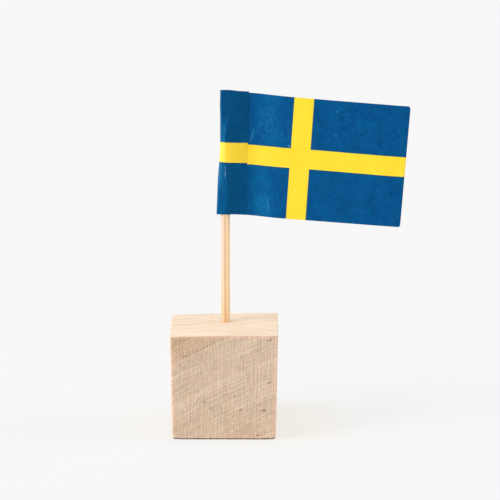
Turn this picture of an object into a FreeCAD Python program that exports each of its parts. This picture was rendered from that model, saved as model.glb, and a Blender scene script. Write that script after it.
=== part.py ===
import FreeCAD, Part
import math
import os

# A paper flag on a wooden pick, standing in a small drilled wooden block.
# Millimetres, +Z up, origin at the middle of the block's underside.
# The flag flies to +X and the hem is glued on its -Y side, which is the front.

# Block: a short piece sawn off a wooden strip whose section is a little out of square.
# The sawn end grain is the front and the back, so the section is drawn on XZ and runs along Y.
block_width_top = 25.0
block_width_bottom = 23.95
block_depth = 25.0
block_height_left = 24.4
block_height_right = 24.6
block_edge_break = 0.35

# Hole: drilled upright from the top, behind the middle, a little narrower than the pick and a
# little deeper than its point reaches, with the cone that a twist drill leaves.
hole_undersize = 0.1
hole_spare_depth = 2.3
hole_point_angle = 118.0
hole_right_of_middle = 0.25
hole_behind_middle = 2.7

# Pick: a turned round stick with one long point, which wedges in the mouth of the hole.
pick_diameter = 2.15
pick_length = 65.0
pick_taper_length = 11.3
pick_tip_diameter = 0.4
pick_end_chamfer = 0.12
pick_seat_clearance = 0.01

# Flag: one sheet of printed paper, folded round the pick, its hem glued on its own front.
paper_thickness = 0.1
sleeve_clearance = 0.04
flag_above_pick = 0.3
flag_height = 28.83
flag_length_top = 44.0
fly_corner_radius = 0.45

# The flag droops, and its three cut edges are not quite square to each other (degrees).
top_edge_angle = 4.45
bottom_edge_angle = 4.12
fly_edge_angle = 4.6

# Hem: its free edge's distance from the pick's axis at the top and at the lowest corner, how
# far it stands past the main sheet at the fold, and its own edges' slant (degrees).
hem_reach_top = 5.5
hem_reach_bottom = 4.7
hem_past_top = 0.29
hem_past_bottom = 0.22
hem_top_angle = 4.75
hem_bottom_angle = 1.85

# Seam: the glued strip beside the pick, between its start and the hem's free edge. Depths are
# those of the main sheet's front face, measured back from the pick's axis.
seam_start = 3.5
seam_start_depth = -0.45
seam_end_depth = -0.1

# Fold: it hugs the pick from the top down to a kink, and then stands off it more and more,
# while its inner radius gets ever smaller than the round that the paper makes about the pick.
fold_kink_above_bottom = 12.0
fold_stand_off_top = 0.02
fold_stand_off_kink = 0.17
fold_stand_off_bottom = 1.08
fold_sharper_top = 0.11
fold_sharper_kink = 0.44
fold_sharper_bottom = 0.74

# Wave: the sheet's gentle bend beyond the hem, as distances from the axis and front depths.
wave_crest = 9.5
wave_crest_depth = -0.4
wave_flank = 14.8
wave_flank_depth = -1.35
wave_flat_start = 21.6
wave_flat_start_depth = -1.85
wave_flat_middle = 31.0
fly_depth = -1.95

# A tool that cuts or trims reaches past what it cuts by this much.
overrun = 3.0


def vec(x, y, z=0.0):
    return FreeCAD.Vector(x, y, z)


def slope(degrees):
    return math.tan(math.radians(degrees))


def line(start, end):
    return Part.LineSegment(start, end).toShape()


def spline(points):
    curve = Part.BSplineCurve()
    curve.interpolate(points)
    return curve.toShape()


# Height of the block's top where the pick enters it.
block_top_slope = (block_height_right - block_height_left) / block_width_top
mouth_height = (block_height_left + block_height_right) / 2 + block_top_slope * hole_right_of_middle

# The pick drops until its taper is as wide as the hole's mouth.
hole_diameter = pick_diameter - hole_undersize
taper_rate = (pick_diameter - pick_tip_diameter) / pick_taper_length
taper_start = mouth_height + (hole_undersize + 2 * pick_seat_clearance) / taper_rate
pick_bottom = taper_start - pick_taper_length
pick_top = pick_bottom + pick_length

# The main sheet's top and bottom edge where they meet the fold, and its lowest corner.
flag_top = pick_top + flag_above_pick
flag_bottom = flag_top - flag_height
flag_lowest = flag_bottom - slope(bottom_edge_angle) * flag_length_top

# The round that the paper's inner face makes about the pick, and the fold's reach at the top.
sleeve_radius = pick_diameter / 2 + sleeve_clearance
fold_reach = sleeve_radius + paper_thickness + fold_stand_off_top


def make_block():
    """Sawn section, extruded front to back, edges broken, and drilled for the pick."""
    half_top = block_width_top / 2
    half_bottom = block_width_bottom / 2
    front = -block_depth / 2
    section = Part.makePolygon([
        vec(-half_bottom, front, 0),
        vec(half_bottom, front, 0),
        vec(half_top, front, block_height_right),
        vec(-half_top, front, block_height_left),
        vec(-half_bottom, front, 0),
    ])
    block = Part.Face(section).extrude(vec(0, block_depth, 0))
    block = block.makeFillet(block_edge_break, block.Edges)
    return block.cut(make_hole()).Solids[0]


def make_hole():
    """The drill's shape: a cylinder from above the block down to the drill's cone."""
    radius = hole_diameter / 2
    floor = pick_bottom - hole_spare_depth
    cone_depth = radius / slope(hole_point_angle / 2)
    return turned_at_hole(Part.makePolygon([
        vec(0, 0, floor - cone_depth),
        vec(radius, 0, floor),
        vec(radius, 0, mouth_height + overrun),
        vec(0, 0, mouth_height + overrun),
        vec(0, 0, floor - cone_depth),
    ]))


def make_pick():
    """Turned stick: rounded point, long taper, straight shank and a chamfered top end."""
    radius = pick_diameter / 2
    tip_radius = pick_tip_diameter / 2
    tip_shoulder = vec(tip_radius, 0, pick_bottom + tip_radius)
    halfway = tip_radius * math.sqrt(0.5)
    tip_middle = vec(halfway, 0, pick_bottom + tip_radius - halfway)
    tip = Part.Arc(vec(0, 0, pick_bottom), tip_middle, tip_shoulder).toShape()
    side = Part.makePolygon([
        tip_shoulder,
        vec(radius, 0, taper_start),
        vec(radius, 0, pick_top - pick_end_chamfer),
        vec(radius - pick_end_chamfer, 0, pick_top),
        vec(0, 0, pick_top),
        vec(0, 0, pick_bottom),
    ])
    return turned_at_hole(Part.Wire([tip] + side.Edges))


def turned_at_hole(outline):
    """Half outline on XZ, turned round Z and stood on the hole's axis."""
    solid = Part.Face(outline).revolve(vec(0, 0, 0), vec(0, 0, 1), 360)
    solid.translate(vec(hole_right_of_middle, hole_behind_middle, 0))
    return solid


def arc_about(centre, radius, start, end, side):
    """Short arc between two points of a circle; side tells front from back for a half turn."""
    middle = (start + end) * 0.5 - centre
    if middle.Length == 0:
        middle = vec(0, side)
    middle.normalize()
    return Part.Arc(start, centre + middle * radius, end).toShape()


def fold_line(fold_centre, fold_radius, pick_round, side):
    """Ends of the straight run from the fold's round to the round about the pick."""
    lean = math.asin((pick_round - fold_radius) / -fold_centre.x)
    normal = vec(-math.sin(lean), side * math.cos(lean))
    return fold_centre + normal * fold_radius, normal * pick_round


def seam_normal(side):
    """Outward direction where the paper leaves the pick, straight towards the seam's start."""
    distance = math.hypot(seam_start, seam_start_depth)
    bearing = math.atan2(seam_start_depth, seam_start)
    angle = bearing + side * math.acos(sleeve_radius / distance)
    return vec(math.cos(angle), math.sin(angle))


def sleeve_face(stand_off, sharper, side, layer):
    """One face of the paper from the fold's nose, over one side of the pick, to the seam.

    side is -1 in front and 1 behind; layer is 0 for the face on the pick and 1 for the outer.
    """
    fold_centre = vec(-sharper - stand_off, 0)
    fold_radius = sleeve_radius - sharper + layer * paper_thickness
    pick_round = sleeve_radius + layer * paper_thickness
    nose = fold_centre - vec(fold_radius, 0)
    leave_fold, meet_pick = fold_line(fold_centre, fold_radius, pick_round, side)
    outward = seam_normal(side)
    leave_pick = outward * pick_round
    seam = vec(seam_start, seam_start_depth + layer * side * paper_thickness)
    edges = [
        arc_about(fold_centre, fold_radius, nose, leave_fold, side),
        line(leave_fold, meet_pick),
        arc_about(vec(0, 0), pick_round, meet_pick, leave_pick, side),
        line(leave_pick, seam),
    ]
    return edges, nose, seam


def section(edges, height):
    """These edges as one closed wire, on the pick's axis at a height."""
    wire = Part.Wire(Part.sortEdges(edges)[0])
    wire.translate(vec(hole_right_of_middle, hole_behind_middle, height))
    return wire


def hem_section(stand_off, sharper, hem_reach, height):
    """The hem in plan: from the fold over the front of the pick, and down onto the sheet."""
    inner, inner_nose, seam = sleeve_face(stand_off, sharper, -1, 0)
    outer, outer_nose, outer_seam = sleeve_face(stand_off, sharper, -1, 1)
    free_edge = vec(hem_reach, seam_end_depth)
    free_edge_front = free_edge - vec(0, paper_thickness)
    closing = [
        line(outer_seam, free_edge_front),
        line(free_edge_front, free_edge),
        line(free_edge, seam),
        line(inner_nose, outer_nose),
    ]
    return section(inner + outer + closing, height)


def sheet_section(stand_off, sharper, hem_reach, height):
    """The main sheet in plan: behind the pick, under the hem, and out to the fly."""
    inner, inner_nose, seam = sleeve_face(stand_off, sharper, 1, 0)
    outer, outer_nose, outer_seam = sleeve_face(stand_off, sharper, 1, 1)
    behind = vec(0, paper_thickness)
    wave = [
        vec(hem_reach, seam_end_depth),
        vec(wave_crest, wave_crest_depth),
        vec(wave_flank, wave_flank_depth),
        vec(wave_flat_start, wave_flat_start_depth),
        vec(wave_flat_middle, fly_depth),
        vec(flag_length_top + overrun, fly_depth),
    ]
    closing = [
        line(seam, wave[0]),
        spline(wave),
        line(wave[-1], wave[-1] + behind),
        spline([point + behind for point in wave]),
        line(wave[0] + behind, outer_seam),
        line(outer_nose, inner_nose),
    ]
    return section(inner + outer + closing, height)


def make_flag():
    """Hem and main sheet, each lofted down the pick, trimmed to its own edges and joined."""
    kink = flag_bottom + fold_kink_above_bottom
    stations = [
        (fold_stand_off_bottom, fold_sharper_bottom, hem_reach_bottom, flag_lowest - overrun),
        (fold_stand_off_kink, fold_sharper_kink, (hem_reach_top + hem_reach_bottom) / 2, kink),
        (fold_stand_off_top, fold_sharper_top, hem_reach_top, flag_top + overrun),
    ]
    hem = Part.makeLoft([hem_section(*station) for station in stations], True, True)
    sheet = Part.makeLoft([sheet_section(*station) for station in stations], True, True)
    hem = hem.common(hem_outline())
    sheet = sheet.common(sheet_outline())
    return sheet.fuse(hem).removeSplitter().Solids[0]


def edge_point(x, height_at_fold, angle):
    """Point at x on an edge that has this height at the fold and slants down from there."""
    return vec(x, 0, height_at_fold - slope(angle) * (x + fold_reach))


def outline_prism(points):
    """A prism through the whole flag, with this front view about the pick's axis."""
    front = hole_behind_middle - hem_reach_top
    placed = [point + vec(hole_right_of_middle, front, 0) for point in points]
    face = Part.Face(Part.makePolygon(placed + placed[:1]))
    return face.extrude(vec(0, 2 * hem_reach_top, 0))


def hem_outline():
    """The hem's own top and bottom edge, which stand a little past the main sheet's."""
    left = -fold_reach - overrun
    right = hem_reach_top + overrun
    top = flag_top + hem_past_top
    bottom = flag_bottom - hem_past_bottom
    return outline_prism([
        edge_point(left, bottom, hem_bottom_angle),
        edge_point(right, bottom, hem_bottom_angle),
        edge_point(right, top, hem_top_angle),
        edge_point(left, top, hem_top_angle),
    ])


def sheet_outline():
    """The main sheet's top, bottom and leaning fly edge, with the fly's corners rounded."""
    left = -fold_reach - overrun
    fly_top = edge_point(flag_length_top - fold_reach, flag_top, top_edge_angle)
    below_fly_top = edge_point(fly_top.x, flag_bottom, bottom_edge_angle)
    fly_height = (fly_top.z - below_fly_top.z) / (1 + slope(bottom_edge_angle) * slope(fly_edge_angle))
    fly_bottom = fly_top - vec(slope(fly_edge_angle) * fly_height, 0, fly_height)
    prism = outline_prism([
        edge_point(left, flag_bottom, bottom_edge_angle),
        fly_bottom,
        fly_top,
        edge_point(left, flag_top, top_edge_angle),
    ])
    corners = [
        edge for edge in prism.Edges
        if abs(edge.tangentAt(edge.FirstParameter).y) > 0.5 and edge.CenterOfMass.x > hem_reach_top
    ]
    return prism.makeFillet(fly_corner_radius, corners)


os.makedirs("parts", exist_ok=True)
nodes = {
    "wooden_block": make_block(),
    "toothpick": make_pick(),
    "paper_flag": make_flag(),
}
for name, shape in nodes.items():
    shape.exportStep("parts/" + name + ".step")
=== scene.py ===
import math
import bpy
from mathutils import Matrix, Vector


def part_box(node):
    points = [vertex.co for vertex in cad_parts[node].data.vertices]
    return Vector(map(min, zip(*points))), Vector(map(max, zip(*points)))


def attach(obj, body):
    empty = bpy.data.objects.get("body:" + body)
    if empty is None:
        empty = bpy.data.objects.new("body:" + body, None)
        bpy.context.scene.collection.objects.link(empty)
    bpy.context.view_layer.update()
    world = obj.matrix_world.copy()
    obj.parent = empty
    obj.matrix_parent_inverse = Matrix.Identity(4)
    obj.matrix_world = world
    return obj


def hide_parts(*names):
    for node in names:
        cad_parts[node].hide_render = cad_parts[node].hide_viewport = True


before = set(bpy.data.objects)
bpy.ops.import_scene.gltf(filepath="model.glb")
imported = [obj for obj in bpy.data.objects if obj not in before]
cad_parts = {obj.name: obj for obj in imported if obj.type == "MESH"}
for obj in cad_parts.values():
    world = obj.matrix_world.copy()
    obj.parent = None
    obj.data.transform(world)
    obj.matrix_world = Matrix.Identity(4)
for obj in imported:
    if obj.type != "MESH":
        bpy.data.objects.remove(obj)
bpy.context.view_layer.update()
mm = 0.001

# The wooden block: a short piece of pale strip, sawn across at the front and the back and planed
# on its other sides, with its arrises rubbed off. It is drilled from the top for the pick.
block_low, block_high = (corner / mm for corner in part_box("wooden_block"))
block_depth = block_high.y - block_low.y
block_width = 25.0
block_foot_width = 23.95
block_height_left = 24.4
block_height_right = 24.6
block_height = (block_height_left + block_height_right) / 2
block_vertices = (190, 30, 44)
arris_crowding = 0.85
block_arris = 0.36
least_wear = 0.55
more_wear = 0.9
foot_arris = 0.38
foot_corner_rise = (1.8, 0.2)
foot_corner_run = (2.6, 0.8)
saw_line_depth = 0.035
end_skin = (0.03, 0.01)
crown_height = 0.16
crown_aside = 3.0
back_drop = 0.17
crowned_above = 0.8
pick_low, pick_high = (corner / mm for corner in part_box("toothpick"))
pick_axis = Vector(((pick_low.x + pick_high.x) / 2, (pick_low.y + pick_high.y) / 2, 0.0))
hole_radius = 1.025
hole_below_pick = 2.3
hole_floor = pick_low.z - hole_below_pick
hole_sides = 48
drill_above_block = 4
end_grain_light = (0.830, 0.660, 0.500, 1)
end_grain_dark = (0.390, 0.265, 0.170, 1)
stain_light = (0.790, 0.560, 0.380, 1)
stain_dark = (0.380, 0.215, 0.110, 1)
rim_light = (0.930, 0.655, 0.500, 1)
rim_dark = (0.540, 0.320, 0.215, 1)
long_grain_light = (0.850, 0.710, 0.560, 1)
long_grain_dark = (0.730, 0.570, 0.415, 1)
fleck_colour = (0.150, 0.075, 0.040, 1)
# Colour of the contact shadow painted along the block's foot.
foot_painted_shadow = (0.090, 0.035, 0.018, 1)
torn_fibres_and_shade = (0.480, 0.300, 0.160, 1)


class Field:
    """A number or a vector that flows between nodes. Arithmetic on it adds Math nodes."""

    def __init__(self, socket):
        self.socket = socket

    def math(self, operation, *others, swap=False):
        """A Math node on this field and the others, in reverse order where swap is set."""
        values = (self,) + others
        if swap:
            values = values[::-1]
        nodes = Nodes(self.socket.id_data)
        return nodes.add("ShaderNodeMath", {"operation": operation}, dict(enumerate(values)))

    def __add__(self, other):
        return self.math("ADD", other)

    def __sub__(self, other):
        return self.math("SUBTRACT", other)

    def __rsub__(self, other):
        return self.math("SUBTRACT", other, swap=True)

    def __mul__(self, other):
        return self.math("MULTIPLY", other)

    def __truediv__(self, other):
        return self.math("DIVIDE", other)

    def __rtruediv__(self, other):
        return self.math("DIVIDE", other, swap=True)

    __radd__ = __add__
    __rmul__ = __mul__

    def __abs__(self):
        return self.math("ABSOLUTE")

    def least(self, other):
        return self.math("MINIMUM", other)

    def most(self, other):
        return self.math("MAXIMUM", other)

    def step(self, low, high):
        """0 below low, 1 above high, and smooth between them. low may be above high."""
        nodes = Nodes(self.socket.id_data)
        return nodes.add("ShaderNodeMapRange", {"interpolation_type": "SMOOTHSTEP"},
                         dict(enumerate((self, low, high, 0.0, 1.0))))

    def near(self, place, outer, inner):
        """1 within inner of the place, 0 beyond outer of it, and smooth between them."""
        return abs(self - place).step(outer, inner)


def connect(value, slot):
    """Gives a socket a link from a field, or a plain value."""
    if isinstance(value, Field):
        slot.id_data.links.new(value.socket, slot)
    else:
        slot.default_value = value


def distance(*sides):
    """How long a straight line is that goes this far along each axis."""
    squares = [side * side for side in sides]
    return sum(squares[1:], squares[0]).math("SQRT")


class Nodes:
    """Adds nodes to one tree."""

    def __init__(self, tree):
        self.tree = tree

    def add(self, kind, settings=(), sockets=(), output=0):
        """A node of this kind, its settings made first and its sockets filled, as its output."""
        node = self.tree.nodes.new(kind)
        for name, value in dict(settings).items():
            setattr(node, name, value)
        for name, value in dict(sockets).items():
            connect(value, node.inputs[name])
        return Field(node.outputs[output])

    def vector(self, x, y, z):
        return self.add("ShaderNodeCombineXYZ", {}, {0: x, 1: y, 2: z})

    def split(self, vector):
        """The three numbers of a vector."""
        first = self.add("ShaderNodeSeparateXYZ", {}, {0: vector})
        return [Field(output) for output in first.socket.node.outputs]

    def place(self):
        """Object coordinates in millimetres, as three fields."""
        return [axis / mm for axis in self.split(self.add("ShaderNodeTexCoord", output="Object"))]

    def noise(self, place, detail=2.0, roughness=0.5):
        """Soft noise, around a half, at a place given as three numbers or fields."""
        return self.add("ShaderNodeTexNoise", {}, {
            "Vector": self.vector(*place), "Scale": 1.0, "Detail": detail, "Roughness": roughness})

    def mix(self, amount, first, second):
        """The first colour where the amount is 0, and the second where it is 1."""
        colours = {0: amount, 6: first, 7: second}
        return self.add("ShaderNodeMix", {"data_type": "RGBA"}, colours, output=2)

    def bump(self, strength, depth, height):
        """A normal from a height. The depth is in millimetres."""
        return self.add("ShaderNodeBump", {}, {
            "Strength": strength, "Distance": depth * mm, "Height": height})


def new_material(name, roughness, build):
    """A material whose Principled shader gets a colour, and perhaps more, from build()."""
    material = bpy.data.materials.new(name)
    material.use_nodes = True
    shader = material.node_tree.nodes["Principled BSDF"]
    shader.inputs["Roughness"].default_value = roughness
    for socket, value in build(Nodes(material.node_tree)).items():
        connect(value, shader.inputs[socket])
    return material


def new_object(name, data):
    """An object with this data, linked to the scene."""
    made = bpy.data.objects.new(name, data)
    bpy.context.scene.collection.objects.link(made)
    return made


def settle(piece, modifier):
    """Makes what the modifier gives the piece's own plain mesh, and removes the modifier."""
    bpy.context.view_layer.update()
    evaluated = piece.evaluated_get(bpy.context.evaluated_depsgraph_get())
    mesh = bpy.data.meshes.new_from_object(evaluated)
    piece.modifiers.remove(modifier)
    piece.data = mesh
    mesh.name = piece.name


def grown(name, tree, **sizes):
    """Runs a geometry tree with these named sizes and returns its result as a plain piece."""
    piece = new_object(name, bpy.data.meshes.new(name))
    modifier = piece.modifiers.new(name, "NODES")
    modifier.node_group = tree
    sockets = {item.name: item.identifier for item in tree.interface.items_tree}
    for size, value in sizes.items():
        modifier[sockets[size.replace("_", " ")]] = value
    settle(piece, modifier)
    return piece


def new_tree(name, *inputs):
    """An empty geometry tree, its node adder, its inputs as fields, and its output socket."""
    tree = bpy.data.node_groups.new(name, "GeometryNodeTree")
    tree.interface.new_socket("Geometry", in_out="OUTPUT", socket_type="NodeSocketGeometry")
    for label, kind in inputs:
        tree.interface.new_socket(label, in_out="INPUT", socket_type="NodeSocket" + kind)
    given = tree.nodes.new("NodeGroupInput")
    result = tree.nodes.new("NodeGroupOutput")
    fields = [Field(given.outputs[label]) for label, kind in inputs]
    return tree, Nodes(tree), fields, result.inputs[0]


def close_tree(nodes, geometry, material, result):
    """Ends a geometry tree: smooth shading, real geometry and its material."""
    smooth = nodes.add("GeometryNodeSetShadeSmooth", {}, {"Geometry": geometry})
    real = nodes.add("GeometryNodeRealizeInstances", {}, {"Geometry": smooth})
    connect(nodes.add("GeometryNodeSetMaterial", {}, {"Geometry": real, "Material": material}), result)


def block_tree():
    """A fine box, its arrises rounded by rule, tapered and sloped, with saw lines on its ends."""
    tree, nodes, fields, result = new_tree(
        "sawn block", ("Width", "Float"), ("Foot width", "Float"), ("Depth", "Float"),
        ("Left height", "Float"), ("Right height", "Float"), ("Arris", "Float"), ("Foot arris", "Float"),
        ("Crown height", "Float"), ("Crown aside", "Float"), ("Back drop", "Float"),
        ("Saw line depth", "Float"), ("Hole radius", "Float"), ("Hole floor", "Float"),
        ("Material", "Material"))
    (width, foot_width, depth, left, right, arris, foot_more, crown, crown_place, drop,
     saw_depth, hole, floor, material) = fields
    box = nodes.add("GeometryNodeMeshCube", {}, {
        "Size": (2, 2, 2), "Vertices X": block_vertices[0], "Vertices Y": block_vertices[1],
        "Vertices Z": block_vertices[2]})
    unit = nodes.split(nodes.add("GeometryNodeInputPosition"))
    crowd = arris_crowding / math.pi
    spread = [unit[0]] + [c + (c * math.pi).math("SINE") * crowd for c in unit[1:]]
    height = (left + right) / 2
    halves = [width / 2, depth / 2, height / 2]
    at = [c * half for c, half in zip(spread, halves)]
    wear = nodes.noise([c * 0.35 for c in at], 3.0)
    near_foot = (at[2] + height / 2).step(*foot_corner_rise)
    near_side = (width / 2 - abs(at[0])).step(*foot_corner_run)
    round_off = arris * (least_wear + more_wear * wear) + foot_more * (near_foot * near_side)
    inner = [c.least(half - round_off).most(round_off - half) for c, half in zip(at, halves)]
    out = [c - i for c, i in zip(at, inner)]
    reach = distance(*out)
    x, y, z = [i + o * round_off / reach for i, o in zip(inner, out)]
    line = nodes.noise((x * 2.6, y * 0.05, z * 0.10), 4.0, 0.65)
    on_end = abs(y).step(depth / 2 - end_skin[0], depth / 2 - end_skin[1])
    y = y - y.math("SIGN") * on_end * (line - 0.3).most(0.0) * saw_depth * 2
    up = z / height + 0.5
    x = x * (foot_width + (width - foot_width) * up) / width
    aside = (x - crown_place) / (width / 2 + crown_place)
    dip = (y / depth + 0.5) * (0.5 - x / width) * drop
    z = up * (left + (right - left) * (x / width + 0.5))
    z = z + ((1 - aside * aside).most(0.0) * crown - dip) * up.step(crowned_above, 1.0)
    shaped = nodes.add("GeometryNodeSetPosition", {}, {
        "Geometry": box, "Position": nodes.vector(x * mm, y * mm, z * mm)})
    shank_top = height + drill_above_block
    shank = nodes.add("GeometryNodeMeshCylinder", {}, {
        "Vertices": hole_sides, "Radius": hole * mm, "Depth": (shank_top - floor) * mm})
    shank = nodes.add("GeometryNodeTransform", {}, {
        "Geometry": shank,
        "Translation": nodes.vector(pick_axis.x * mm, pick_axis.y * mm, (shank_top + floor) / 2 * mm)})
    drilled = nodes.add("GeometryNodeMeshBoolean", {"operation": "DIFFERENCE"},
                        {"Mesh 1": shaped, "Mesh 2": shank})
    close_tree(nodes, drilled, material, result)
    return tree


# Growth rings are circles round a middle that lies far below the block and right of it, and the
# wood beyond one ring is stained. A fleck is given as across, up, half length, half height, slope
# and strength. In a pair of limits, a mark ends at the first and is full at the second.
ring_centre = (52.5, -96.7)
stained_beyond = 131.4
stain_edge = (-1.0, 1.3)
crack_from = (-10.6, -9.0)
dark_ring = 120.1
pale_rings = (114.6, 111.4, 117.4, 108.9, 112.4, 106.2)
pale_ring_shade = 0.3
saw_pitch = 0.77
flecks = [
    (10.5, 23.4, 0.46, 0.20, 0.25, 0.75), (10.55, 13.5, 0.62, 0.19, 0.42, 0.65),
    (-6.2, 11.3, 0.36, 0.24, 0.60, 0.42), (-4.4, 8.85, 0.36, 0.25, 0.50, 0.52),
    (2.4, 10.3, 0.20, 0.26, 0.00, 0.50), (3.8, 7.0, 0.40, 0.25, 0.50, 0.75),
    (9.2, 6.95, 0.62, 0.25, 0.20, 0.75), (-10.7, 14.2, 0.30, 0.18, 0.40, 0.40),
    (-8.8, 3.6, 0.18, 0.20, 0.00, 0.50), (-9.5, 6.7, 0.15, 0.22, 0.00, 0.40),
    (7.8, 1.05, 0.45, 0.17, 0.00, 0.75), (-9.2, 19.6, 0.60, 0.16, 0.40, 0.48),
    (-2.9, 22.4, 0.40, 0.16, 0.40, 0.25)]
streak_place = (5.55, 14.3)
streak_height = (1.3, 0.7)
torn_and_shaded_radius = (1.75, 1.1)
foot_shadow_height = (0.46, 0.20)
side_rim = (1.1, 0.3)
top_rim = (0.8, 0.2)
foot_rim = (0.9, 0.3)
wood_bump_depth = 0.05
wood_roughness = 0.72


def end_grain(nodes, x, y, z, ring, years, saw, grit, tooth):
    """Colour of the sawn ends: ringed and ridged, stained beyond one ring, rosy near the rims."""
    old_years = nodes.noise((ring * 0.35, 7.0, 0.0))
    long_saw = nodes.noise((x * 4.0, y * 0.05, z * 0.08 + 8.0), 2.0, 0.6)
    cloud = nodes.noise((x * 0.22, y * 0.22, z * 0.22 + 4.0), 3.0, 0.6)
    blush = nodes.noise((x * 0.7, y * 0.2, z * 0.8 + 2.0), 3.0, 0.7)
    tone = ((saw - 0.5) * 0.75 + (long_saw - 0.5) * 0.3 + tooth * 0.07 + (years - 0.5) * 0.80
            + (grit - 0.5) * 1.1 + (old_years - 0.5) * 0.35 + (cloud - 0.5) * 0.35 + 0.5)
    for radius in pale_rings:
        shade = ring.near(radius + pale_ring_shade, 0.20, 0.05)
        tone = tone + (ring.near(radius, 0.20, 0.04) - shade) * 0.05
    tone = tone - ring.near(dark_ring, 0.35, 0.1) * (grit + saw).step(0.75, 1.15) * 0.18
    stained = (ring + (grit - 0.5)).step(stained_beyond + stain_edge[0], stained_beyond + stain_edge[1])
    crack = ring.near(stained_beyond, 0.34, 0.08) * (grit + cloud).step(0.85, 1.2) * x.step(*crack_from)
    tone = tone - crack * 0.42 - stained * 0.08
    colour = nodes.mix(tone, end_grain_dark, end_grain_light)
    colour = nodes.mix(stained * 0.75, colour, nodes.mix(tone, stain_dark, stain_light))
    half = (z / block_height * (block_width - block_foot_width) + block_foot_width) / 2
    rim = (half - abs(x)).step(*side_rim)
    rim = rim.most((block_height - z).step(*top_rim)).most(z.step(*foot_rim))
    rosy = (rim * 0.8).most(blush.step(0.48, 0.72) * 0.55)
    return nodes.mix(rosy, colour, nodes.mix(tone, rim_dark, rim_light))


def fleck_spots(x, z, grit):
    """The flecks, each a soft slanting ellipse with a broken edge."""
    spots = 0.0
    for spot_x, spot_z, long, tall, rise, strength in flecks:
        aside = x - spot_x
        above = z - spot_z - aside * rise
        reach = distance(aside / long, above / tall) * 0.9
        spots = (reach + (grit - 0.5) * 1.4).step(1.15, 0.45) * strength + spots
    return spots.least(1.0)


def block_colours(nodes):
    """Growth rings run through the whole block; the sawn ends are darker, ridged and flecked. Painted
    shadow darkens the foot, and painted shade and torn fibres ring the hole's mouth.
    """
    x, y, z = nodes.place()
    facing = nodes.split(nodes.add("ShaderNodeTexCoord", output="Normal"))
    end = abs(facing[1]).step(0.55, 0.8)
    front = facing[1].step(0.0, -0.5)
    top = facing[2].step(0.5, 0.8)
    sway = nodes.noise((x * 0.12, y * 0.05, z * 0.12))
    ring = distance(x - ring_centre[0], z - ring_centre[1]) + (sway - 0.5) * 1.6
    years = nodes.noise((ring * 4.6, x * 0.05, z * 0.05), 1.0, 0.6)
    saw = nodes.noise((x * 5.0, y * 0.05, z * 0.7), 2.0, 0.6)
    grit = nodes.noise((x * 5.5, y * 5.5, z * 5.0), 2.0, 0.6)
    wander = nodes.noise((x * 0.3, 3.0, z * 0.12)) * 1.6
    tooth = ((x / saw_pitch + wander) * (2 * math.pi)).math("SINE")
    end_colour = end_grain(nodes, x, y, z, ring, years, saw, grit, tooth)
    strand = nodes.noise((x * 1.2, y * 0.10, z * 1.2), 3.0, 0.6)
    band = nodes.noise((x * 0.10 + y * 0.16, y * 0.45 - x * 0.12, z * 0.3), 3.0, 0.6)
    long_tone = ((strand - 0.5) * (1.7 - top * 1.1) + (band - 0.5) * (top * 2.2 + 0.2)
                 + (years - 0.5) * 0.4 + 0.5)
    colour = nodes.mix(end, nodes.mix(long_tone, long_grain_dark, long_grain_light), end_colour)
    spots = fleck_spots(x, z, grit) * end * front
    off_streak = abs(x - streak_place[0]) + (grit - 0.5) * 0.3
    streak = off_streak.step(0.22, 0.06) * z.near(streak_place[1], *streak_height)
    colour = nodes.mix(spots + streak * end * 0.25, colour, fleck_colour)
    # Torn fibres and painted shade: a darker ring round the hole's mouth, in front of the pick.
    mouth_x, mouth_y = x - pick_axis.x, y - pick_axis.y
    from_mouth = distance(mouth_x, mouth_y) + (grit - 0.5) * 1.1
    torn_and_shade = from_mouth.step(*torn_and_shaded_radius) * top * mouth_y.step(0.4, -0.4)
    colour = nodes.mix(torn_and_shade * 0.5, colour, torn_fibres_and_shade)
    # Painted contact shadow: a dark band along the block's foot, where it meets the floor.
    foot = (z + (saw - 0.5) * 0.25).step(*foot_shadow_height)
    colour = nodes.mix(foot * 0.9, colour, foot_painted_shadow)
    relief = (saw * 0.7 + tooth * 0.06 + grit * 0.9 + years * 0.3) * end + strand * 0.3 * (1 - end)
    return {"Base Color": colour, "Normal": nodes.bump(0.55, wood_bump_depth, relief - spots * 0.8)}


block_wood = new_material("pale_strip_wood", wood_roughness, block_colours)
block = grown("block", block_tree(), Width=block_width, Foot_width=block_foot_width,
              Depth=block_depth, Left_height=block_height_left, Right_height=block_height_right,
              Arris=block_arris, Foot_arris=foot_arris, Crown_height=crown_height,
              Crown_aside=crown_aside, Back_drop=back_drop, Saw_line_depth=saw_line_depth,
              Hole_radius=hole_radius, Hole_floor=hole_floor, Material=block_wood)
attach(block, "root")
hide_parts("wooden_block")


# The pick: a round stick turned from birch, with a long point at its foot that wedges in the
# block's hole, and a square-cut, slightly rubbed top end inside the flag's fold.
pick_radius = (pick_high.x - pick_low.x) / 2
pick_length = pick_high.z - pick_low.z
pick_taper_length = 12.2
pick_tip_radius = 0.2
pick_end_chamfer = 0.12
pick_least_radius = 0.004
pick_rounds = 520
pick_sides = 48
pick_ridge_depth = 0.04
pick_bump_depth = 0.04
pick_roughness = 0.55
# The pick's right half is painted lighter and its left half darker, as painted light and shade.
pick_right_painted_light = (1.000, 0.770, 0.490, 1)
pick_left_painted_shade = (0.740, 0.570, 0.440, 1)
pick_warm = (0.700, 0.405, 0.195, 1)
pick_low_pale = (0.900, 0.640, 0.330, 1)


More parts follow.
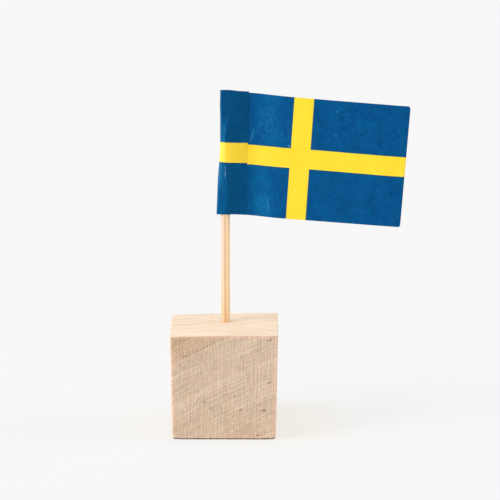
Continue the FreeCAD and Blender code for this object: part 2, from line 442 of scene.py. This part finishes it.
def pick_tree():
    """A circle swept up a straight line, its radius set by the distance from the tip."""
    tree, nodes, fields, result = new_tree(
        "turned pick", ("Radius", "Float"), ("Length", "Float"), ("Taper length", "Float"),
        ("Tip radius", "Float"), ("End chamfer", "Float"), ("Foot", "Vector"), ("Material", "Material"))
    radius, length, taper, tip, chamfer, foot, material = fields
    line = nodes.add("GeometryNodeCurvePrimitiveLine", {}, {
        "Start": (0, 0, 0), "End": nodes.vector(0.0, 0.0, length * mm)})
    line = nodes.add("GeometryNodeResampleCurve", {}, {"Curve": line, "Count": pick_rounds})
    along = nodes.add("GeometryNodeSplineParameter", output="Length") / mm
    slim = tip + (along / taper).least(1.0) * (radius - tip)
    inside_tip = (tip - along).most(0.0)
    ball = (tip * tip - inside_tip * inside_tip).most(0.0).math("SQRT") - tip
    cut = (chamfer - (length - along)).most(0.0)
    line = nodes.add("GeometryNodeSetCurveRadius", {}, {
        "Curve": line, "Radius": (slim + ball - cut).most(pick_least_radius)})
    rim = nodes.add("GeometryNodeCurvePrimitiveCircle", {}, {"Resolution": pick_sides, "Radius": mm})
    stick = nodes.add("GeometryNodeCurveToMesh", {}, {
        "Curve": line, "Profile Curve": rim, "Fill Caps": True,
        "Scale": nodes.add("GeometryNodeInputRadius")})
    x, y, z = [c / mm for c in nodes.split(nodes.add("GeometryNodeInputPosition"))]
    ridge = nodes.noise((x * 2.2, y * 2.2, z * 0.03), 3.0, 0.6)
    squeeze = 1 - (ridge - 0.35).most(0.0) * pick_ridge_depth
    stick = nodes.add("GeometryNodeSetPosition", {}, {
        "Geometry": stick, "Position": nodes.vector(x * squeeze * mm, y * squeeze * mm, z * mm)})
    stick = nodes.add("GeometryNodeSetPosition", {}, {"Geometry": stick, "Offset": foot})
    close_tree(nodes, stick, material, result)
    return tree


# A growth line is given as its distance right of the axis, where it ends on both sides of that,
# where it is full, and its strength. The last ones show only low on the pick or at its wedged foot.
growth_lines = [(-0.74, 0.195, 0.065, 0.50), (-0.14, 0.255, 0.085, 1.10), (0.78, 0.27, 0.09, 0.66)]
low_line = (-0.95, 0.4, 0.2, 0.35)
wedge_lines = [(-0.32, 0.3, 0.1, 0.8), (0.25, 0.5, 0.2, 0.35)]
low_on_pick = (42.0, 24.0)
wedged_below = (30.5, 25.5)


def pick_colours(nodes):
    """Straight grain: warm growth lines run the whole length, between fine pale fibres."""
    x, y, z = nodes.place()
    x, y = x - pick_axis.x, y - pick_axis.y
    drift = nodes.noise((0.0, 0.0, z * 0.05))
    side = x + y * 0.05 + (drift - 0.5) * 0.15
    low = z.step(*low_on_pick)
    wedged = z.step(*wedged_below)
    lines = 0.0
    for offset, outer, inner, strength in growth_lines:
        lines = side.near(offset, outer, inner) * strength + lines
    offset, outer, inner, strength = low_line
    lines = lines + side.near(offset, outer, inner) * low * strength
    for offset, outer, inner, strength in wedge_lines:
        lines = lines + side.near(offset, outer, inner) * wedged * strength
    fibre = nodes.noise((x * 4.0, y * 4.0, z * 0.12), 3.0, 0.6)
    # Painted light and shade: lighter on the pick's right half and darker on its left half, evening out
    # the lamps.
    pale = nodes.mix(side.step(0.0, -0.3), pick_right_painted_light, pick_left_painted_shade)
    colour = nodes.mix(lines * 0.85 + (fibre - 0.45) * 0.6, pale, pick_warm)
    colour = nodes.mix(low * 0.35, colour, nodes.mix(lines, pick_low_pale, pick_warm))
    return {"Base Color": colour, "Normal": nodes.bump(0.35, pick_bump_depth, fibre)}


pick_wood = new_material("birch_pick_wood", pick_roughness, pick_colours)
pick = grown("pick", pick_tree(), Radius=pick_radius, Length=pick_length,
             Taper_length=pick_taper_length, Tip_radius=pick_tip_radius, End_chamfer=pick_end_chamfer,
             Foot=(pick_axis.x * mm, pick_axis.y * mm, pick_low.z * mm), Material=pick_wood)
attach(pick, "root")
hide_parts("toothpick")


# The flag: one sheet of coated paper, printed on both sides with a yellow cross on blue. It goes
# behind the pick, folds round its left side and comes back over its front as a hem, which is glued
# down beside the pick. Its fold hugs the pick at the top and stands off it lower down.
paper = 0.1
seam_x = 3.6
seam_depth = -0.45
wrap_play = 0.02
glue_gap = 0.006
crease_play = 0.01
crease_sink = 0.4
crease_soften = 0.10
bridge_end = 1.15
bridge_soften = 0.15
bridge_share = 0.35
bridge_least_fall = 0.35
bridge_fall_rate = 1.4
landing_run = 1.25
edge_sink_run = 1.2
slope_step = 0.1
ripple_height = 0.03
ripple_start = 7
ripple_growth = 4
cockle_height = 0.02
rough_bottom = 25.8
rough_height = 29.0


def smooth_through(points, place):
    """Value at a place on a smooth curve through (place, value) pairs in rising order."""
    place = min(max(place, points[0][0]), points[-1][0])
    slopes = [(b[1] - a[1]) / (b[0] - a[0]) for a, b in zip(points, points[1:])]
    inner = [(a + b) / 2 if a * b > 0 else 0.0 for a, b in zip(slopes, slopes[1:])]
    tangents = [slopes[0]] + inner + [slopes[-1]]
    for i in range(len(slopes)):
        if place <= points[i + 1][0]:
            run = points[i + 1][0] - points[i][0]
            t = (place - points[i][0]) / run
            return (points[i][1] * (1 + 2 * t) * (1 - t) ** 2 + points[i + 1][1] * t * t * (3 - 2 * t)
                    + run * (tangents[i] * t * (1 - t) ** 2 - tangents[i + 1] * t * t * (1 - t)))


# How steeply the main sheet comes forward at a distance from the pick's axis, or runs back where
# the value is below 0: along its bottom edge, and along its top edge. They are summed to depths.
lean_low = [(0, -0.19), (3.4, -0.19), (4.4, -0.15), (5.0, -0.06), (5.9, 0.10), (6.9, 0.19), (8.2, 0.26),
            (9.6, 0.25), (11, 0.15), (13, 0.07), (16, 0.03), (20, 0.03), (27, 0.04), (34, 0.03), (41, 0.0)]
lean_high = [(0, -0.29), (4.4, -0.29), (5.3, -0.17), (6.0, 0.02), (7.2, 0.12), (9, 0.21), (10.6, 0.25),
             (12.6, 0.22), (15, 0.12), (17.5, 0.06), (23, 0.04), (31, 0.03), (42, 0.0)]
lean_step = 0.1
lean_steps = 430
steps_before_seam = 20
lean_start = seam_x - steps_before_seam * lean_step
lean_sums = []
for leans in (lean_low, lean_high):
    sums = [0.0]
    for step in range(lean_steps):
        sums.append(sums[-1] + lean_step * smooth_through(leans, lean_start + lean_step * (step + 0.5)))
    lean_sums.append([value - sums[steps_before_seam] for value in sums])


def nose_radius(z):
    """How tightly the sheet turns at its fold: looser where the facet curves round the pick."""
    return smooth_through([(26, 0.34), (31, 0.46), (33.7, 0.74), (36.5, 0.75), (41, 0.55), (43.5, 0.7),
                           (46.5, 0.8), (48.5, 0.45), (55, 0.4)], z)


def fold_reach(z):
    """How far left of the pick's axis the fold stands."""
    return smooth_through([(26.0, 2.09), (28.0, 1.99), (30.8, 1.89), (33.7, 1.78), (36.0, 1.60),
                           (38.4, 1.39), (41.3, 1.23), (44.0, 1.20), (49.0, 1.20), (51.2, 1.25),
                           (53.0, 1.21), (55.0, 1.20)], z) - paper / 2


def crease_x(z):
    """Where the front's crease runs: over the pick's middle, and further right near both ends."""
    wobble = 0.03 * math.sin(z * 2.3) + 0.02 * math.sin(z * 5.1 + 2)
    return wobble + smooth_through([(26, 0.0), (27.2, 0.02), (28.5, 0.3), (30, 0.42), (32.5, 0.42),
                                    (33.7, 0.12), (35.3, -0.04), (42, -0.04), (45.5, 0.02),
                                    (47.3, 0.35), (49.3, 0.66), (55, 0.66)], z)


def facet_angle(z):
    """How far the facet left of the crease turns towards the left."""
    return math.radians(smooth_through([(26, 7), (31, 7), (33.0, 8), (34.2, 12), (36.5, 16), (41, 21),
                                        (44, 24), (46, 20), (47.6, 4), (49.5, -5), (55, -5)], z))


def sheet_depth(x, z):
    """Depth of the main sheet: it runs back behind the hem, then comes forward again."""
    rise = min(max((z - rough_bottom) / rough_height, 0.0), 1.0)
    place = (x - lean_start) / lean_step
    index = min(int(place), len(lean_sums[0]) - 2)
    low, high = [sums[index] + (sums[index + 1] - sums[index]) * (place - index) for sums in lean_sums]
    free = min(max((x - ripple_start) / ripple_growth, 0), 1)
    ripple = ripple_height * math.sin(0.9 * x + 0.25 * z) * free
    cockle = cockle_height * math.sin(0.45 * z - 0.5 * x)
    return seam_depth - low * (1 - rise) - high * rise + (ripple + cockle)


def edge_sink(z):
    """How far the glue has drawn the hem's free edge into the sheet's surface."""
    return smooth_through([(26, 0.75), (46, 0.7), (49.5, 0.3), (51, 0.0), (55, 0.0)], z)


def towards(angle):
    """Unit vector at this angle in plan."""
    return Vector((math.cos(angle), math.sin(angle)))


def straight(first, last, count):
    """Points on a straight line, without its start."""
    return [first + (last - first) * ((step + 1) / count) for step in range(count)]


def arc(centre, radius, start, end, count):
    """Points on an arc, without its start."""
    angles = [start + (end - start) * (step + 1) / count for step in range(count)]
    return [centre + towards(angle) * radius for angle in angles]


def bow(first, control, last, count):
    """Points on a curve that leaves and ends in line with its control point, without its start."""
    shares = [(step + 1) / count for step in range(count)]
    return [first * (1 - t) ** 2 + control * 2 * t * (1 - t) + last * t * t for t in shares]


# How many points each part of the wrap has, from under the hem's free edge round to the crease
# and on to where the hem lands on the sheet.
under_points = 15
seam_points = 18
behind_points = 22
side_points = 8
nose_points = 14
facet_points = 14
crease_points = 6
bridge_points = 5
bend_points = 8
landing_points = 12
crease_column = (under_points + seam_points + behind_points + side_points + nose_points
                 + facet_points + crease_points // 2)


def wrap_section(z, hem_end):
    """Plan path of the sheet at one height: under the hem, behind the pick, round the fold and
    over the front to the hem's free edge. Each part always has the same number of points."""
    ring = pick_radius + wrap_play + paper / 2
    axis = Vector((0, 0))
    reach, turn, crease_at, bend = fold_reach(z), facet_angle(z), crease_x(z), nose_radius(z)
    stand_off = ring + crease_play + max(crease_at * math.sin(turn), -crease_sink)
    crease = Vector((crease_at, -stand_off / math.cos(turn)))
    along = Vector((-math.cos(turn), math.sin(turn)))
    inward = Vector((math.sin(turn), math.cos(turn)))
    nose_start = crease + along * ((crease.x + reach - bend * (1 - inward.x)) / math.cos(turn))
    nose = nose_start + inward * bend
    lean = math.atan2(nose.y, nose.x) % (2 * math.pi)
    belt = lean - math.acos(min((ring - bend) / nose.length, 1.0))
    seam = Vector((seam_x, sheet_depth(seam_x, z)))
    behind = math.atan2(seam.y, seam.x) + math.acos(ring / seam.length)
    end = Vector((hem_end, sheet_depth(hem_end, z)))
    places = [end.x + (seam.x - end.x) * step / (under_points - 1) for step in range(under_points)]
    under = [Vector((x, sheet_depth(x, z))) for x in places]
    path = under + straight(seam, towards(behind) * ring, seam_points)
    path += arc(axis, ring, behind, belt, behind_points)
    path += straight(path[-1], nose + towards(belt) * bend, side_points)
    path += arc(nose, bend, belt, math.pi * 1.5 - turn, nose_points)
    path += straight(path[-1], crease + along * crease_soften, facet_points)
    lift = Vector((0, -(paper + glue_gap)))
    landing = seam + lift
    early = min(max(bridge_least_fall + crease.x * bridge_fall_rate, bridge_least_fall), 1.0)
    fall = (landing.y - crease.y) / (landing.x - crease.x) * early
    bridge = Vector((bridge_end, crease.y + (bridge_end - crease.x) * fall))
    out = (bridge - crease).normalized()
    path += bow(crease + along * crease_soften, crease, crease + out * crease_soften, crease_points)
    rise = sheet_depth(seam_x + slope_step, z) - sheet_depth(seam_x - slope_step, z)
    hollow = landing - Vector((1, rise / (2 * slope_step))) * landing_run
    bend_from = bridge - out * bridge_soften
    bend_to = bridge + (hollow - bridge) * bridge_share
    path += straight(path[-1], bend_from, bridge_points)
    path += bow(bend_from, bridge, bend_to, bend_points)
    path += bow(bend_to, hollow, landing, landing_points)
    for point in reversed(under[:-1]):
        sunk = min(max(1 - (end.x - point.x) / edge_sink_run, 0.0), 1.0) * edge_sink(z)
        path.append(point + lift * (1 - sunk))
    return path


# Heights are above the block's top, and distances are from the pick's axis. The sheet's long
# edges slant down from the fold, and its hem and its fly edge lean to the right as they rise.
fold_x = -1.2
top_at_fold = 54.73
top_slant = math.tan(math.radians(4.33))
bottom_at_fold = 25.95
bottom_slant = math.tan(math.radians(3.98))
hem_end_bottom = 4.75
hem_end_lean = 0.72
fly_bottom = 40.49
fly_lean = 2.22
fly_corner = 0.45
sheet_rows = 150
main_columns = 130
row_crowding = 0.55
column_crowding = 0.35
fold_columns = (-10, 6)


def top_edge(x):
    return top_at_fold - top_slant * (x - fold_x)


def bottom_edge(x):
    return bottom_at_fold - bottom_slant * (x - fold_x)


def hem_top(x):
    return smooth_through([(-2.2, 54.98), (-0.9, 55.05), (0.7, 55.04), (1.6, 54.96), (3.0, 54.74),
                           (5.4, 54.52)], x)


def hem_bottom(x):
    return smooth_through([(-2.2, 25.79), (0.0, 25.78), (1.35, 25.79), (3.0, 25.69), (5.4, 25.49)], x)


# The print: a bar up the sheet and a band along it. The band's middle falls with the sheet, bends
# a little with each wave (its place, its half width and its height), and sits higher on the hem.
droop = math.radians(3.96)
bar_middle = 17.31
bar_width = 4.53
band_width = 4.59
band_middle_height = 40.20
band_fall = 0.0706
band_waves = [(19, 9, 0.10), (40, 7, -0.06)]
hem_band_height = 40.44
hem_band_fall = 0.055
hem_band_x = -1.0
hem_print_scale = 0.98
print_unit = 100
main_mark = -20.0


def wrap_print(x, z, front):
    """Height in the print of a point on the wrap, from the sheet, 0, to the hem in front, 1."""
    middle = ((band_middle_height - band_fall * (x - fold_x)) * (1 - front)
              + (hem_band_height - hem_band_fall * (x - hem_band_x)) * front)
    return (z - middle) * hem_print_scale


def main_print(x, z):
    """Print place of a point on the main sheet: turned with its droop, bent with the waves."""
    rise = z - band_middle_height
    for wave_x, half_width, height in band_waves:
        rise -= height * math.exp(-((x - wave_x) / half_width) ** 2)
    return (x * math.cos(droop) - rise * math.sin(droop),
            (x - fold_x) * math.sin(droop) + rise * math.cos(droop))


def make_sheet():
    """Grid of the sheet's middle layer, rows up and columns along the paper. The print's place
    goes to a UV map, and an attribute holds the distance past the crease on the wrap. On the main
    sheet it counts down from the mark, with the distance past the hem's free edge."""
    vertices, print_places, crease_places = [], [], []
    for row in range(sheet_rows + 1):
        share = row / sheet_rows
        share -= row_crowding * math.sin(2 * math.pi * share) / (2 * math.pi)
        hem_end = hem_end_bottom + hem_end_lean * share
        fly_x = fly_bottom + fly_lean * share
        section = wrap_section(rough_bottom + rough_height * share, hem_end)
        fold_at = min(range(len(section)), key=lambda i: section[i].x)
        lengths = [0.0]
        for first, second in zip(section, section[1:]):
            lengths.append(lengths[-1] + (second - first).length)
        change_over = [(fold_at + fold_columns[0], 0.0), (fold_at + fold_columns[1], 1.0)]
        for column, point in enumerate(section):
            front = smooth_through(change_over, column)
            low = bottom_edge(point.x) * (1 - front) + hem_bottom(point.x) * front
            high = top_edge(point.x) * (1 - front) + hem_top(point.x) * front
            z = low + (high - low) * share
            vertices.append((point.x, point.y, z))
            along = point.x if column < under_points else hem_end - lengths[column]
            print_places.append((along, wrap_print(point.x, z, front)))
            crease_places.append(lengths[column] - lengths[crease_column])
        for column in range(1, main_columns + 1):
            along = column / main_columns
            along += column_crowding * math.sin(math.pi * along) / math.pi * (1 - along)
            x = hem_end + (fly_x - hem_end) * along
            short = max(x - (fly_x - fly_corner), 0.0)
            trim = fly_corner - math.sqrt(max(fly_corner ** 2 - short ** 2, 0.0))
            low, high = bottom_edge(x) + trim, top_edge(x) - trim
            z = low + (high - low) * share
            vertices.append((x, sheet_depth(x, z), z))
            print_places.append(main_print(x, z))
            crease_places.append(main_mark - (x - hem_end))
    wrap_columns = len(section)
    across = wrap_columns + main_columns
    order = list(range(wrap_columns - 1, -1, -1)) + list(range(wrap_columns, across))
    faces = []
    for row in range(sheet_rows):
        for first, second in zip(order, order[1:]):
            a, b = row * across + first, row * across + second
            faces.append((a, b, b + across, a + across))
    mesh = bpy.data.meshes.new("flag")
    shift = Vector((pick_axis.x, pick_axis.y, block_height))
    mesh.from_pydata([(Vector(v) + shift) * mm for v in vertices], [], faces)
    layer = mesh.uv_layers.new(name="print")
    for loop in mesh.loops:
        layer.data[loop.index].uv = Vector(print_places[loop.vertex_index]) / print_unit
    creases = mesh.attributes.new("from_crease", "FLOAT", "POINT")
    creases.data.foreach_set("value", crease_places)
    mesh.polygons.foreach_set("use_smooth", [True] * len(mesh.polygons))
    return mesh


# The inks, their wear, and the shade and sheen painted on them. A patch is given as across, up, half
# width, half height and strength, a speck as across, up, size and strength, and a crack as its height,
# where it ends and where it is full on both sides of that, and its strength.
blue_dark = (0.0001, 0.0008, 0.1650, 1)
blue_light = (0.0002, 0.0490, 0.2350, 1)
# Blue of the shade painted where the paper lies double and beside the hem.
blue_painted_shade = (0.0001, 0.0010, 0.0750, 1)
# Lighter blue for rubs and cracks, and for the sheen painted on the facet.
blue_worn_and_sheen = (0.0700, 0.3000, 0.5200, 1)
blue_gloss = (0.035, 0.88, 0.80, 1)
overprint = (0.0030, 0.0400, 0.0700, 1)
yellow_dark = (1.000, 0.700, 0.008, 1)
yellow_light = (1.000, 0.760, 0.026, 1)
# Yellow of the sheen painted on the facet, and paler yellow for the rest of the wrap.
yellow_pale_and_sheen = (1.000, 0.735, 0.110, 1)
# Yellow of the shade painted on the sheet beside the hem.
yellow_painted_shade = (1.000, 0.620, 0.014, 1)
yellow_gloss = (1.00, 0.45, 0.38, 1)
split_paper = (0.36, 0.55, 0.66, 1)
paper_white = (0.80, 0.80, 0.78, 1)
paper_grey = (0.62, 0.63, 0.62, 1)
cut_roughness = 0.8
ink_roughness = 0.52
ink_ior = 1.55
ink_gloss = 1.0
ink_bump_depth = 0.08
ink_edge = 0.03
rippled_patches = [(10.0, 46.9, 3.2, 4.4, 0.24), (8.7, 28.2, 2.4, 2.8, 0.15)]
ripple_aside = 4.4
ripple_below = 7.2
ripple_pitch = 0.5
leaning_rub = (6.15, 44.1)
leaning_slope = 0.25
bowed_rub = (9.95, 27.9)
bow_height = 27.3
bow_rate = 0.12
upright_rub = (14.5, 45.3)
pale_specks = [(14.67, 42.0, 0.32, 0.55), (25.8, 50.1, 0.24, 0.42), (25.5, 44.55, 0.36, 0.20),
               (27.9, 49.4, 0.24, 0.18)]
# A soft patch of painted sheen low in the canton beside the hem.
sheen_patch = (8.4, 28.0, 2.2, 2.8)
crease_cracks = [(35.2, 2.4, 1.6, 0.28), (48.6, 4.4, 2.5, 0.22)]
least_crack = 0.08
split_crack = (35.9, 1.3, 0.8, 0.48)
facet_sheen_above = (29.5, 37.5)
facet_sheen_below = (43.0, 40.0)
shaded_below = (47.0, 42.0)
shaded_above = (43.0, 50.0)


def rub(x, z, mark_x, mark_z, wide, high):
    """A soft round mark: 1 in its middle and 0 outside it."""
    return distance((x - mark_x) / wide, (z - mark_z) / high).step(1.2, 0.3)


def rubbed_front(x, z, mottle):
    """Pale rubs on the front: rippled patches, a leaning, a bowed and an upright line, and specks."""
    wear_and_sheen = 0.0
    for mark_x, mark_z, wide, high, strength in rippled_patches:
        ripple = distance(x - mark_x + ripple_aside, z - mark_z + ripple_below)
        ripple = ripple * (2 * math.pi / ripple_pitch) + mottle * 3.0
        touched = rub(x, z, mark_x, mark_z, wide, high) * mottle.step(0.42, 0.66) * strength
        wear_and_sheen = ripple.math("SINE").step(0.0, 1.0) * touched + wear_and_sheen
    leaning = x - (z - leaning_rub[1]) * leaning_slope
    wear_and_sheen = wear_and_sheen + leaning.near(leaning_rub[0], 0.28, 0.04) * z.near(leaning_rub[1], 1.9, 0.7) * 0.30
    bulge = z - bow_height
    bowed = x + bulge * bulge * bow_rate
    wear_and_sheen = wear_and_sheen + bowed.near(bowed_rub[0], 0.34, 0.05) * z.near(bowed_rub[1], 2.0, 1.0) * 0.20
    upright = x.near(upright_rub[0], 0.14, 0.03) * z.near(upright_rub[1], 4.0, 2.0)
    wear_and_sheen = wear_and_sheen + upright * mottle * 0.30
    for speck_x, speck_z, size, strength in pale_specks:
        wear_and_sheen = wear_and_sheen + rub(x, z, speck_x, speck_z, size, size * 1.4) * strength
    return wear_and_sheen


def crease_wear_and_sheen(z, from_crease, fibre, mottle):
    """Ink cracked along the crease, and painted sheen on the facet left of it."""
    strength = least_crack
    for height, outer, inner, more in crease_cracks:
        strength = z.near(height, outer, inner) * more + strength
    broken = (fibre * 0.6 + mottle * 0.6).step(0.48, 0.68)
    cracked = abs(from_crease).step(0.14, 0.03) * broken * strength
    # Painted sheen: the facet left of the crease is made lighter.
    facet = from_crease.step(-0.5, -1.1) * from_crease.step(-4.5, -3.5)
    return cracked + facet * z.step(*facet_sheen_above) * z.step(*facet_sheen_below) * 0.15


def paper_painted_shade(z, from_crease, past_hem):
    """Painted shade: darker where the paper lies double and lets less light through, on the hem and on the
    fold, and in the shade beside the hem's free edge.
    """
    low = z.step(*shaded_below)
    hem_painted_shade = 0.34 + (from_crease.step(5.0, 1.5) * 0.34 - 0.22) * low
    painted_shade = from_crease.step(-4.0, -3.0) * (z.step(*shaded_above) * 0.24 + 0.04)
    painted_shade = painted_shade.most(from_crease.step(-0.3, 0.4) * hem_painted_shade)
    return painted_shade + past_hem.step(1.4, 0.1) * past_hem.step(-5.0, 0.0) * low * 0.14


def ink_fields(nodes):
    """The print over the sheet's own print coordinates: where the cross is, and the two inks."""
    print_uv = nodes.split(nodes.add("ShaderNodeUVMap", {"uv_map": "print"}))
    along, up = [c * print_unit for c in print_uv[:2]]
    from_crease = nodes.add("ShaderNodeAttribute", {"attribute_name": "from_crease"}, output="Fac")
    past_hem = main_mark - from_crease
    x, y, z = nodes.place()
    x, z = x - pick_axis.x, z - block_height
    past_bar = abs(along - bar_middle) - bar_width / 2
    past_band = abs(up) - band_width / 2
    past_cross = past_bar.least(past_band)
    cross = past_cross.step(ink_edge, -ink_edge)
    cloud = nodes.noise((x * 0.40, y * 0.40, z * 0.40), 3.0, 0.6)
    mottle = nodes.noise((x * 1.6, y * 1.6, z * 1.6), 3.0, 0.6)
    fibre = nodes.noise((x * 6.0, y * 6.0, z * 6.0), 2.0, 0.6)
    tone = (cloud - 0.5) * 1.3 + (mottle - 0.5) * 1.5 + (fibre - 0.5) * 0.7 + 0.5
    front = nodes.split(nodes.add("ShaderNodeTexCoord", output="Normal"))[1].step(0.0, -0.3)
    # Pale rubs and cracks are wear; the lighter facet left of the crease is painted sheen.
    wear_and_sheen = rubbed_front(x, z, mottle) * front + crease_wear_and_sheen(z, from_crease, fibre, mottle)
    painted_shade = paper_painted_shade(z, from_crease, past_hem)
    # Painted sheen: the print's tone is lighter in one soft patch low beside the hem.
    tone = tone + rub(x, z, *sheen_patch) * front * 0.4
    blue = nodes.mix(wear_and_sheen, nodes.mix(tone, blue_dark, blue_light), blue_worn_and_sheen)
    height, outer, inner, strength = split_crack
    split = abs(from_crease).step(0.13, 0.03) * z.near(height, outer, inner)
    blue = nodes.mix(split * (fibre + mottle).step(0.75, 1.05) * strength, blue, split_paper)
    blue = nodes.mix(past_cross.step(0.24, 0.08) * 0.75, blue, overprint)
    # Painted shade on the blue, on the hem, the fold and beside the hem's free edge.
    blue = nodes.mix(painted_shade, blue, blue_painted_shade)
    yellow = nodes.mix(tone - painted_shade * 0.4, yellow_dark, yellow_light)
    # Painted shade: the yellow is darker on the sheet beside the hem.
    shade_beside_hem = past_hem.step(11.0, 7.5) * past_hem.step(-0.2, 0.2)
    yellow = nodes.mix(shade_beside_hem * 0.5, yellow, yellow_painted_shade)
    # Painted sheen on the yellow of the facet left of the crease, and a paler yellow over the rest of the
    # wrap.
    on_wrap = from_crease.step(-6.0, -4.0)
    yellow = nodes.mix(on_wrap * (from_crease.step(0.2, -0.2) * 0.36 + 0.14), yellow, yellow_pale_and_sheen)
    relief = fibre * 0.20 + mottle * 0.95 + cloud * 1.6
    return cross, blue, yellow, nodes.bump(0.5, ink_bump_depth, relief)


def printed_colours(nodes):
    """Two glossy inks, each on its own shader, mixed by where the cross is."""
    cross, blue, yellow, bump = ink_fields(nodes)
    main = nodes.tree.nodes["Principled BSDF"]
    gold = nodes.add("ShaderNodeBsdfPrincipled", {}, {"Base Color": yellow, "Normal": bump}).socket.node
    for shader, tint in ((main, blue_gloss), (gold, yellow_gloss)):
        shader.inputs["Roughness"].default_value = ink_roughness
        shader.inputs["IOR"].default_value = ink_ior
        shader.inputs["Specular IOR Level"].default_value = ink_gloss
        shader.inputs["Specular Tint"].default_value = tint
    both = nodes.add("ShaderNodeMixShader", {}, {
        0: cross, 1: Field(main.outputs[0]), 2: Field(gold.outputs[0])})
    connect(both, nodes.tree.nodes["Material Output"].inputs["Surface"])
    return {"Base Color": blue, "Normal": bump}


def edge_colours(nodes):
    """The cut edge shows the sheet's own white between the two printed sides."""
    fibre = nodes.noise([axis * 6.0 for axis in nodes.place()])
    return {"Base Color": nodes.mix(fibre, paper_grey, paper_white)}


printed_paper = new_material("printed_flag_paper", ink_roughness, printed_colours)
paper_edge = new_material("flag_paper_cut_edge", cut_roughness, edge_colours)
flag = new_object("flag", make_sheet())
flag.data.materials.append(printed_paper)
flag.data.materials.append(paper_edge)
thickness = flag.modifiers.new("paper", "SOLIDIFY")
thickness.thickness = paper * mm
thickness.offset = 0.0
thickness.use_even_offset = False
thickness.material_offset_rim = 1
settle(flag, thickness)
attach(flag, "root")
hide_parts("paper_flag")


# The table, the light and the view: a pale floor with warm bounce light painted beside the block,
# under soft studio light from the upper left, seen through a long lens from a little above.
floor_size = 12.0
floor_roughness = 1.0
floor_grey = (0.70, 0.70, 0.702, 1)
# Colour of the warm bounce light painted on the floor beside the block.
floor_painted_bounce = (0.715, 0.600, 0.370, 1)
warm_past_side = (26.0, -4.0)
warm_left_share = 0.3
warm_left_to_right = (-8.0, 8.0)
warm_in_front = (-19.0, -7.0)
warm_behind = (32.0, 14.0)
backdrop_white = (0.955, 0.953, 0.952, 1)
backdrop_share = 0.72
sky_strength = 0.12

# Each softbox is a broad lamp far away: its name, the direction towards it, its strength, and the
# angle that it fills.
softboxes = [
    ("overhead_softbox", (-0.05, -0.05, 1.0), 0.69, 90),
    ("left_softbox", (-0.80, -0.42, 0.28), 0.97, 45),
    ("right_softbox", (0.90, 0.03, 0.34), 0.50, 40)]


def floor_colours(nodes):
    """Even pale paint, with warm bounce light painted on both sides of the block, for the light that its
    wood throws back.
    """
    x, y = nodes.place()[:2]
    stronger_right = x.step(*warm_left_to_right) * (1 - warm_left_share) + warm_left_share
    beside = (abs(x) - block_width / 2).step(*warm_past_side) * stronger_right
    painted_bounce = beside * y.step(*warm_in_front) * y.step(*warm_behind)
    return {"Base Color": nodes.mix(painted_bounce, floor_grey, floor_painted_bounce)}


def backdrop_over(nodes):
    """Mixes the lit paint with an even white, for the camera's rays and for reflections alone."""
    shader = nodes.tree.nodes["Principled BSDF"]
    shader.inputs["Specular IOR Level"].default_value = 0.0
    seen = [nodes.add("ShaderNodeLightPath", output=ray)
            for ray in ("Is Camera Ray", "Is Glossy Ray", "Is Transmission Ray")]
    seen = seen[0].most(seen[1]).most(seen[2])
    glow = nodes.add("ShaderNodeEmission", {}, {"Color": backdrop_white, "Strength": 1.0})
    both = nodes.add("ShaderNodeMixShader", {}, {
        0: seen * backdrop_share, 1: Field(shader.outputs[0]), 2: glow})
    connect(both, nodes.tree.nodes["Material Output"].inputs["Surface"])


floor_paint = new_material("floor_with_painted_bounce", floor_roughness, floor_colours)
backdrop_over(Nodes(floor_paint.node_tree))
floor_mesh = bpy.data.meshes.new("floor")
reach = floor_size / 2
floor_mesh.from_pydata([(-reach, -reach, 0), (reach, -reach, 0), (reach, reach, 0), (-reach, reach, 0)],
                       [], [(0, 1, 2, 3)])
floor_mesh.materials.append(floor_paint)
floor = new_object("floor", floor_mesh)

world = bpy.data.worlds.new("studio")
world.use_nodes = True
world.node_tree.nodes["Background"].inputs["Color"].default_value = (1.0, 1.0, 1.0, 1)
world.node_tree.nodes["Background"].inputs["Strength"].default_value = sky_strength
bpy.context.scene.world = world

for name, direction, strength, spread in softboxes:
    lamp_data = bpy.data.lights.new(name, "SUN")
    lamp_data.energy = strength * math.pi
    lamp_data.angle = math.radians(spread)
    lamp = new_object(name, lamp_data)
    lamp.rotation_euler = Vector(direction).to_track_quat("Z", "Y").to_euler()

# The camera is placed so that the middle of the block's front top edge, the anchor, comes to its
# own pixel of the picture.
picture_pixels = 500
focal_pixels = 4620.0
sensor_width = 36.0
view_pitch = math.radians(11.2)
view_turn = math.radians(0.28)
anchor = Vector((0.0, -block_depth / 2, block_height)) * mm
anchor_distance = 1.0626
anchor_pixel = (223.85, 336.0)

camera_data = bpy.data.cameras.new("camera")
camera_data.sensor_width = sensor_width
camera_data.lens = focal_pixels / picture_pixels * sensor_width
camera = new_object("camera", camera_data)
right = Vector((math.cos(view_turn), math.sin(view_turn), 0))
forward = Vector((-math.sin(view_turn) * math.cos(view_pitch), math.cos(view_turn) * math.cos(view_pitch),
                  -math.sin(view_pitch)))
upward = right.cross(forward)
middle_pixel = picture_pixels / 2
aside = (anchor_pixel[0] - middle_pixel) / focal_pixels * anchor_distance
above = (middle_pixel - anchor_pixel[1]) / focal_pixels * anchor_distance
camera.matrix_world = Matrix((right, upward, -forward)).transposed().to_4x4()
camera.location = anchor - right * aside - upward * above - forward * anchor_distance
bpy.context.scene.camera = camera
bpy.context.scene.view_settings.view_transform = "Standard"
